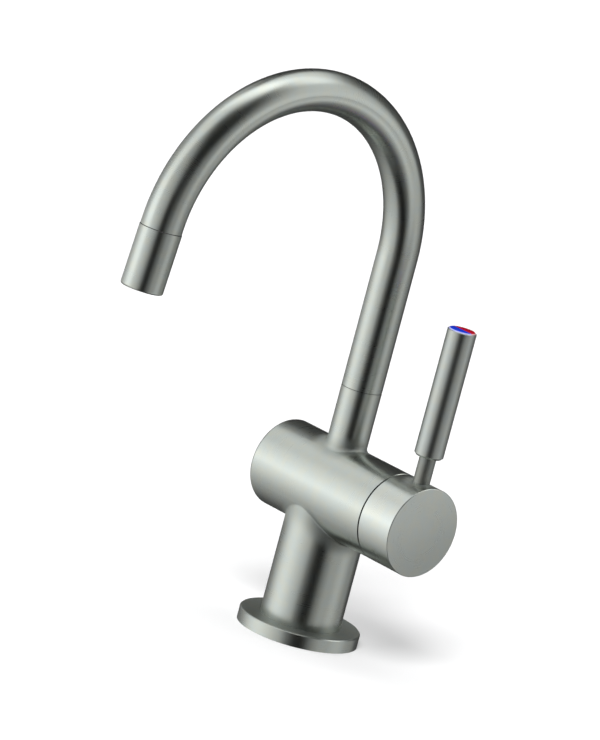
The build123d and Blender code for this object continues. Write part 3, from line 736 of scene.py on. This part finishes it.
class TAP_OT_set_stage(bpy.types.Operator):
    """Puts the tap on a pale floor in a soft studio, and sets the camera."""

    bl_idname = "tap.set_stage"
    bl_label = "Set the stage"

    def execute(self, context):
        view = context.scene.tap_camera
        studio = context.scene.tap_studio
        self.add_camera(context.scene, view)
        self.add_floor(studio)
        self.add_lamp(context.scene, view, studio)
        studio_world(view, studio)
        context.scene.view_settings.view_transform = "Standard"
        return {"FINISHED"}

    def add_camera(self, scene, view):
        across = Vector((cos(view.turn), sin(view.turn), 0))
        back = Vector((sin(view.turn) * cos(view.rise), -cos(view.turn) * cos(view.rise),
                       sin(view.rise)))
        up = back.cross(across)
        axes = Matrix((across, up, back)).transposed() @ Matrix.Rotation(view.roll, 3, "Z")
        aim = Vector((0, 0, view.aim_height)) + across * view.aim_side
        lens = bpy.data.cameras.new("camera")
        lens.lens = view.focal_length
        lens.clip_end = 20.0
        camera = bpy.data.objects.new("camera", lens)
        camera.matrix_world = Matrix.Translation(aim + back * view.distance) @ axes.to_4x4()
        scene.collection.objects.link(camera)
        scene.camera = camera

    def add_floor(self, studio):
        """A pale floor, brightened for the camera only, and clear when seen from below."""
        bpy.ops.object.select_all(action="DESELECT")
        bpy.ops.mesh.primitive_grid_add(x_subdivisions=8, y_subdivisions=8, size=studio.floor_size)
        floor = bpy.context.object
        floor.name = "floor"
        floor.visible_glossy = False
        material, board = new_material("pale_floor")
        seen = board.add("ShaderNodeLightPath", output="Is Camera Ray")
        paint = board.add("ShaderNodeBsdfDiffuse", {}, {"Color": tuple(studio.floor_colour)})
        glow = board.add("ShaderNodeEmission", {},
                         {"Color": WHITE, "Strength": studio.floor_white})
        brightened = board.add("ShaderNodeAddShader", {}, (paint, glow))
        above = board.add("ShaderNodeMixShader", {}, (seen, paint, brightened))
        below = board.add("ShaderNodeBsdfTransparent")
        from_below = board.add("ShaderNodeNewGeometry", output="Backfacing")
        board.add("ShaderNodeOutputMaterial", {}, {
            "Surface": board.add("ShaderNodeMixShader", {}, (from_below, above, below))})
        floor.data.materials.append(material)

    def add_lamp(self, scene, view, studio):
        """A wide soft lamp from the front left, which the steel doesn't mirror."""
        lamp = bpy.data.lights.new("shadow_lamp", "SUN")
        lamp.energy = studio.lamp_strength
        lamp.angle = studio.lamp_spread
        sun = bpy.data.objects.new("shadow_lamp", lamp)
        sun.visible_glossy = False
        sun.rotation_euler = (pi / 2 - studio.lamp_rise, 0, view.turn + studio.lamp_turn)
        scene.collection.objects.link(sun)


# Pieces
def give(material, *nodes):
    """Gives the material to the whole of each node."""
    for name in nodes:
        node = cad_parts[name]
        for slot in node.material_slots:
            slot.material = material
        if not node.material_slots:
            node.data.materials.append(material)


class TAP_OT_finish_steel(bpy.types.Operator):
    """Gives the flange, body, spout, cap and lever their satin steel."""

    bl_idname = "tap.finish_steel"
    bl_label = "Satin steel"

    def execute(self, context):
        look = context.scene.tap_finish
        plain = look.steel_roughness
        # The flange's top is rougher, and painted darker as painted shade
        give(satin_steel("satin_steel_flange", stem_grain, plain, on_flange_top,
                         painted_shade_part=on_flange_top), "base_flange")
        # The body is rougher in all its corners, and its corners towards the cap are painted darker
        # as painted shade
        give(satin_steel("satin_steel_body", body_grain, plain, in_body_corners,
                         painted_shade_part=cap_side_corner_shade), "faucet_body")
        give(satin_steel("satin_steel_spout", arch_grain, plain), "spout_tube")
        # The tip's bevel at its seam is painted dark as the seam's painted shade
        give(satin_steel("satin_steel_tip", tip_grain, plain, seam=at_tip_seam), "outlet_tip")
        # The cap's face is painted darker down and back as painted shade
        give(satin_steel("satin_steel_cap", barrel_grain, plain, round_neck,
                         painted_shade_part=cap_face_painted_fall, colour=look.cap_steel), "handle_cap")
        give(satin_steel("satin_steel_grip", lever_grain, look.grip_roughness,
                         colour=look.grip_steel), "lever_grip")
        # The neck's darker colour is partly painted shade from the cap and grip
        give(satin_steel("satin_steel_neck", lever_grain, look.neck_roughness,
                         colour=look.neck_steel_and_shade), "lever_neck")
        return {"FINISHED"}


class TAP_OT_finish_brass(bpy.types.Operator):
    """Gives the nuts, the spout's journal and the valve's spindle their turned brass."""

    bl_idname = "tap.finish_brass"
    bl_label = "Turned brass"

    def execute(self, context):
        give(turned_brass("turned_brass", stem_grain), "mounting_nut", "spout_journal")
        give(turned_brass("turned_brass_valve", barrel_grain), "cartridge_nut", "cartridge_spindle")
        return {"FINISHED"}


class TAP_OT_cut_shank_thread(bpy.types.Operator):
    """Models the hollow fixing shank with its helical thread."""

    bl_idname = "tap.cut_shank_thread"
    bl_label = "Shank thread"

    def execute(self, context):
        thread = context.scene.tap_thread
        shank = self.wind_ridge(thread)
        self.trim_ends(thread)
        self.cut(shank, "INTERSECT", self.lead_in_cone(thread))
        self.cut(shank, "DIFFERENCE", self.bore_bar(thread))
        bpy.ops.object.shade_smooth_by_angle(angle=thread.smooth_angle)
        shank.name = "shank_thread"
        shank.data.materials.append(turned_brass("turned_brass_shank", stem_grain))
        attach(shank, "fixed_body")
        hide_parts("threaded_shank")
        return {"FINISHED"}

    def wind_ridge(self, thread):
        """One tooth's section, extruded point by point and wound up the shank by a screw."""
        root_width = thread.pitch / 4
        crest_width = thread.pitch / 8
        flank_rise = (thread.pitch - root_width - crest_width) / 2
        depth = flank_rise / tan(thread.flank_angle)
        half_step = thread.pitch / thread.steps / 2
        start = SHANK_LOW[2] - thread.spare_turns / 2 * thread.pitch - half_step
        bpy.ops.object.select_all(action="DESELECT")
        bpy.ops.mesh.primitive_plane_add(size=depth, location=(SHANK_HIGH[0] - depth, 0, start))
        bpy.ops.object.transform_apply(location=True, rotation=True, scale=True)
        bpy.ops.object.mode_set(mode="EDIT")
        bpy.ops.mesh.select_all(action="SELECT")
        bpy.ops.mesh.merge(type="CENTER")
        root = (0, 0, root_width)
        rising_flank = (depth, 0, flank_rise)
        crest = (0, 0, crest_width)
        falling_flank = (-depth, 0, flank_rise)
        for step in (root, rising_flank, crest, falling_flank):
            bpy.ops.mesh.extrude_vertices_move(TRANSFORM_OT_translate={"value": step})
        bpy.ops.object.mode_set(mode="OBJECT")
        shank = bpy.context.object
        screw = shank.modifiers.new("wind", "SCREW")
        screw.screw_offset = thread.pitch
        screw.iterations = ceil((SHANK_HIGH[2] - SHANK_LOW[2]) / thread.pitch) + thread.spare_turns
        screw.steps = thread.steps
        screw.render_steps = thread.steps
        bpy.ops.object.modifier_apply(modifier="wind")
        return shank

    def trim_ends(self, thread):
        """Joins the turns, cuts the winding off square at both ends and closes it there."""
        merge_within = thread.pitch / 50
        cut_within = thread.pitch / 1000
        bpy.ops.object.mode_set(mode="EDIT")
        bpy.ops.mesh.select_all(action="SELECT")
        bpy.ops.mesh.remove_doubles(threshold=merge_within)
        for height, way in ((SHANK_LOW[2], 1), (SHANK_HIGH[2], -1)):
            bpy.ops.mesh.select_all(action="SELECT")
            bpy.ops.mesh.bisect(plane_co=(0, 0, height), plane_no=(0, 0, way),
                                clear_inner=True, use_fill=True, threshold=cut_within)
        bpy.ops.mesh.select_all(action="SELECT")
        bpy.ops.mesh.normals_make_consistent(inside=False)
        bpy.ops.object.mode_set(mode="OBJECT")

    def lead_in_cone(self, thread):
        """A cone of 45 degrees to trim the thread with, which leaves a chamfer at its lower end."""
        low = SHANK_LOW[2] - thread.pitch
        high = SHANK_HIGH[2] + thread.pitch
        narrow = SHANK_HIGH[0] - thread.lead_in - thread.pitch
        bpy.ops.object.select_all(action="DESELECT")
        bpy.ops.mesh.primitive_cone_add(
            vertices=2 * thread.steps, radius1=narrow, radius2=narrow + high - low,
            depth=high - low, location=(0, 0, (low + high) / 2))
        return bpy.context.object

    def bore_bar(self, thread):
        """A bar as thick as the hole through the shank."""
        low = SHANK_LOW[2] - thread.pitch
        high = SHANK_HIGH[2] + thread.pitch
        bpy.ops.object.select_all(action="DESELECT")
        bpy.ops.mesh.primitive_cylinder_add(
            vertices=2 * thread.steps, radius=thread.bore, depth=high - low,
            location=(0, 0, (low + high) / 2))
        return bpy.context.object

    def cut(self, shank, operation, tool):
        bpy.ops.object.select_all(action="DESELECT")
        bpy.context.view_layer.objects.active = shank
        shank.select_set(True)
        cutter = shank.modifiers.new("cut", "BOOLEAN")
        cutter.operation = operation
        cutter.object = tool
        bpy.ops.object.modifier_apply(modifier="cut")
        bpy.data.objects.remove(tool, do_unlink=True)


class TAP_OT_finish_copper(bpy.types.Operator):
    """Gives the three tails their drawn copper."""

    bl_idname = "tap.finish_copper"
    bl_label = "Copper tails"

    def execute(self, context):
        give(drawn_copper(), "cold_inlet_tube", "tank_feed_tube", "hot_return_tube")
        return {"FINISHED"}


class TAP_OT_finish_small_steel(bpy.types.Operator):
    """Gives the washer, the grub screw, the spring, its pin and the circlip their steel."""

    bl_idname = "tap.finish_small_steel"
    bl_label = "Washer, screw and spring"

    def execute(self, context):
        give(zinc_steel(), "deck_steel_washer", "cap_grub_screw")
        give(spring_steel(), "return_spring", "spring_pin", "spindle_circlip")
        return {"FINISHED"}


class TAP_OT_finish_rubber(bpy.types.Operator):
    """Gives the gasket, the soft washer and all seals their black rubber."""

    bl_idname = "tap.finish_rubber"
    bl_label = "Rubber"

    def execute(self, context):
        give(black_rubber(), "base_gasket", "deck_rubber_washer", "tail_seals", "seat_seals",
             "spout_seals", "spindle_seals", "tip_seal")
        return {"FINISHED"}


class TAP_OT_finish_plastic(bpy.types.Operator):
    """Gives the bearings, the flow straightener and the valve's shell their white plastic."""

    bl_idname = "tap.finish_plastic"
    bl_label = "White plastic"

    def execute(self, context):
        give(white_plastic("white_plastic"), "spout_bush", "spout_retaining_ring",
             "flow_straightener", "indicator_carrier", "cartridge_housing")
        # The washer's rim in the seam under the spout is painted dark as the seam's painted shade
        give(white_plastic("white_plastic_washer", at_washer_rim), "glide_washer")
        return {"FINISHED"}


class TAP_OT_finish_ceramic(bpy.types.Operator):
    """Gives the valve's two discs their ceramic."""

    bl_idname = "tap.finish_ceramic"
    bl_label = "Ceramic discs"

    def execute(self, context):
        give(lapped_ceramic(), "fixed_disc", "moving_disc")
        return {"FINISHED"}


class TAP_OT_finish_indicator(bpy.types.Operator):
    """Gives the halves of the indicator their blue and their red."""

    bl_idname = "tap.finish_indicator"
    bl_label = "Indicator"

    def execute(self, context):
        look = context.scene.tap_finish
        give(enamel("blue_inlay", look.cold), "cold_indicator")
        give(enamel("red_inlay", look.hot), "hot_indicator")
        return {"FINISHED"}


SETTINGS = {
    "tap_camera": TapCameraSettings,
    "tap_studio": TapStudioSettings,
    "tap_finish": TapFinishSettings,
    "tap_thread": TapThreadSettings,
}
OPERATORS = (
    TAP_OT_set_stage,
    TAP_OT_finish_steel,
    TAP_OT_finish_brass,
    TAP_OT_cut_shank_thread,
    TAP_OT_finish_copper,
    TAP_OT_finish_small_steel,
    TAP_OT_finish_rubber,
    TAP_OT_finish_plastic,
    TAP_OT_finish_ceramic,
    TAP_OT_finish_indicator,
)


class TAP_PT_sidebar(bpy.types.Panel):
    """Lists the tap's steps in the sidebar."""

    bl_idname = "TAP_PT_sidebar"
    bl_label = "Tap"
    bl_space_type = "VIEW_3D"
    bl_region_type = "UI"
    bl_category = "Tap"

    def draw(self, context):
        for operator in OPERATORS:
            self.layout.operator(operator.bl_idname)
        for name, group in SETTINGS.items():
            settings = getattr(context.scene, name)
            for field in group.__annotations__:
                self.layout.prop(settings, field)


CLASSES = (*SETTINGS.values(), *OPERATORS, TAP_PT_sidebar)


def register():
    for cls in CLASSES:
        bpy.utils.register_class(cls)
    for name, group in SETTINGS.items():
        setattr(bpy.types.Scene, name, bpy.props.PointerProperty(type=group))


def unregister():
    for name in SETTINGS:
        delattr(bpy.types.Scene, name)
    for cls in reversed(CLASSES):
        bpy.utils.unregister_class(cls)


def main():
    register()
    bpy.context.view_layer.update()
    for operator in OPERATORS:
        group, name = operator.bl_idname.split(".")
        getattr(getattr(bpy.ops, group), name)()


if __name__ == "__main__":
    main()
